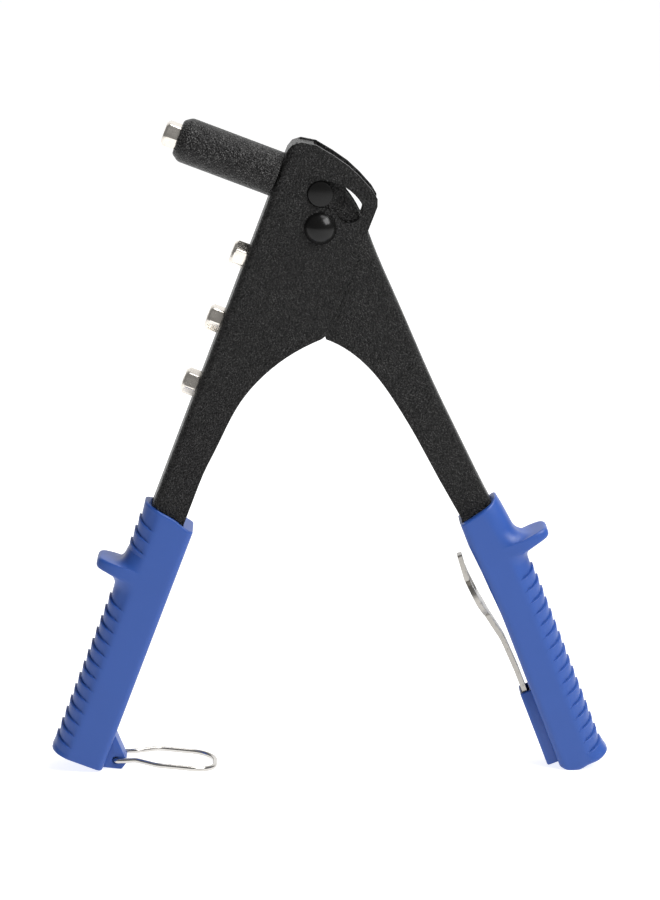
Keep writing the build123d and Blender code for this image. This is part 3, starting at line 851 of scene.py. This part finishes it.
def bail():
    """A bent wire: rings square to a flat path, lifted where the neck runs into the shoulders.

    The loop leans down from its hole until its tip lies just over the floor.
    """
    tip, neck, half, rise = 40.3, 6.9, 12.6, 0.9
    side = [(0, neck, 0), (8.4, neck, rise), (17.0, half, rise), (tip, half, 0)]
    points = [(0, -0.15, 0)] + [(x, -y, z) for x, y, z in side] + side[::-1] + [(0, 0.15, 0)]
    path = fill_in(rounded(points, [1.6, 5.0, 6.0, 9.5, 9.5, 6.0, 5.0, 1.6], 12), 1.2)
    ahead = np.gradient(path, axis=0)
    ahead /= np.linalg.norm(ahead, axis=1)[:, None]
    side_way = np.cross(ahead, UP)
    side_way /= np.linalg.norm(side_way, axis=1)[:, None]
    over = np.cross(side_way, ahead)
    angle = np.linspace(0, 2 * math.pi, 20, endpoint=False)[None, :, None]
    ring = path[:, None] + np.cos(angle) * side_way[:, None] + np.sin(angle) * over[:, None]
    wire_radius = 1.0
    drop = math.asin((BAIL_HOLE[2] - wire_radius - 0.05) / tip)
    cos, sin = math.cos(drop), math.sin(drop)
    points = BAIL_HOLE + ring @ np.array([[cos, 0, -sin], [0, 1, 0], [sin, 0, cos]])
    return grid_mesh("bail_wire", points * MM, cap_first=True, cap_last=True)


# ---- Making ------------------------------------------------------------------------------------

add_piece(left_grip(), "frame", "blue_plastic", "grip_left")
add_piece(left_tab(), "frame", "blue_plastic")
add_piece(right_grip(), "lever", "blue_plastic", "grip_right")
add_piece(wrench_pocket(), "lever", "blue_plastic")
add_piece(from_cad("frame_channel", "frame", 0.35), "frame", "black_paint", "frame")
add_piece(from_cad("lever_channel", "lever", 0.35), "lever", "lever_paint", "lever")
add_piece(from_cad("nose_block_solid", "nose_block", 0.5), "frame", "black_paint", "nose_block")
add_piece(from_cad("wrench_strip", "wrench", 0.3), "wrench", "plated_strip", "wrench")
add_piece(barrel(), "frame", "barrel_paint", "barrel")
fitted = nosepiece("fitted_nosepiece", BARREL_FRONT, AXIS_N, 2.7, -19)
add_piece(fitted, "fitted_nosepiece", "nickel", "nosepiece_fitted")
for spare, (bore, turned_by) in enumerate(((1.9, 9), (2.3, -20), (3.5, -12))):
    name = f"spare_nosepiece_{spare + 1}"
    piece = nosepiece(name, WEB_U, SPARE_FIRST_N - SPARE_PITCH * spare, bore, turned_by)
    add_piece(piece, name, "nickel", f"nosepiece_spare_{spare + 1}")
add_piece(domed_rivet(), "frame", "black_oxide", "fulcrum_rivet")
add_piece(drive_pin(), "lever", "black_oxide", "drive_pin")
add_piece(bail(), "bail", "wire_chrome", "bail")
for kept, slot in (
    ("pull_rod", "tool_steel"), ("jaw_case", "tool_steel"), ("jaw_case_locknut", "tool_steel"),
    ("jaw_upper", "tool_steel"), ("jaw_lower", "tool_steel"), ("jaw_pusher", "tool_steel"),
    ("jaw_spring", "spring_steel"), ("return_spring", "spring_steel"),
):
    dress(nodes[kept], slot)


# ---- Floor, light and camera -------------------------------------------------------------------


def studio():
    """A white floor, bright walls behind the tool and a dim room in front of it.

    The room's brightness goes smoothly from dim to bright as the view turns towards the back.
    """
    half = 6.0
    turn_from, turn_to, dim, bright = 0.40, 0.85, 0.21, 1.15
    floor_mesh = bpy.data.meshes.new("floor")
    corners = [(-half, -half, 0), (half, -half, 0), (half, half, 0), (-half, half, 0)]
    floor_mesh.from_pydata(corners, [], [(0, 1, 2, 3)])
    floor = bpy.data.objects.new("floor", floor_mesh)
    bpy.context.scene.collection.objects.link(floor)
    white = Shader("pale_floor")
    floor.data.materials.append(white.set(
        Base_Color=(0.55, 0.55, 0.55, 1.0), Roughness=1.0, Specular_IOR_Level=0.0,
        Emission_Color=(1.0, 1.0, 1.0, 1.0), Emission_Strength=0.82,
    ))
    world = bpy.data.worlds.new("studio")
    world.use_nodes = True
    tree = world.node_tree
    way = tree.nodes.new("ShaderNodeTexCoord")
    split = tree.nodes.new("ShaderNodeSeparateXYZ")
    back = tree.nodes.new("ShaderNodeMapRange")
    back.interpolation_type = "SMOOTHSTEP"
    for socket, value in enumerate((turn_from, turn_to, dim, bright), 1):
        back.inputs[socket].default_value = value
    tree.links.new(way.outputs["Generated"], split.inputs[0])
    tree.links.new(split.outputs["Y"], back.inputs[0])
    tree.links.new(back.outputs[0], tree.nodes["Background"].inputs["Strength"])
    tree.nodes["Background"].inputs["Color"].default_value = (1.0, 1.0, 1.0, 1.0)
    bpy.context.scene.world = world
    bpy.context.scene.view_settings.view_transform = "Standard"


def softbox(name, place, aim, size, power):
    """A rectangular lamp turned towards a point."""
    light = bpy.data.lights.new(name, "AREA")
    light.shape = "RECTANGLE"
    light.size, light.size_y = size
    light.energy = power
    lamp = bpy.data.objects.new(name, light)
    bpy.context.scene.collection.objects.link(lamp)
    lamp.location = place
    look = Vector(aim) - Vector(place)
    lamp.rotation_euler = look.to_track_quat("-Z", "Y").to_euler()


def camera():
    """A long lens, a little above the tool and square to its flat side."""
    distance, up, turn = 1.55, math.radians(11.6), math.radians(1.0)
    target = np.array([0.0007, 0.0, 0.1304])
    level_view = math.cos(up)
    view = np.array([math.sin(turn) * level_view, math.cos(turn) * level_view, -math.sin(up)])
    data = bpy.data.cameras.new("camera")
    data.sensor_fit = "VERTICAL"
    data.sensor_height = 24.0
    data.lens = 103.33333
    data.clip_start, data.clip_end = 0.05, 30.0
    eye = bpy.data.objects.new("camera", data)
    bpy.context.scene.collection.objects.link(eye)
    eye.location = target - view * distance
    eye.rotation_euler = Vector(view).to_track_quat("-Z", "Y").to_euler()
    bpy.context.scene.camera = eye


studio()
softbox("key", (0.72, -0.50, 1.0), (0, 0, 0.15), (0.7, 0.7), 14.0)
softbox("top", (0.42, 0.12, 1.25), (0, 0, 0.1), (0.9, 0.8), 8.5)
camera()
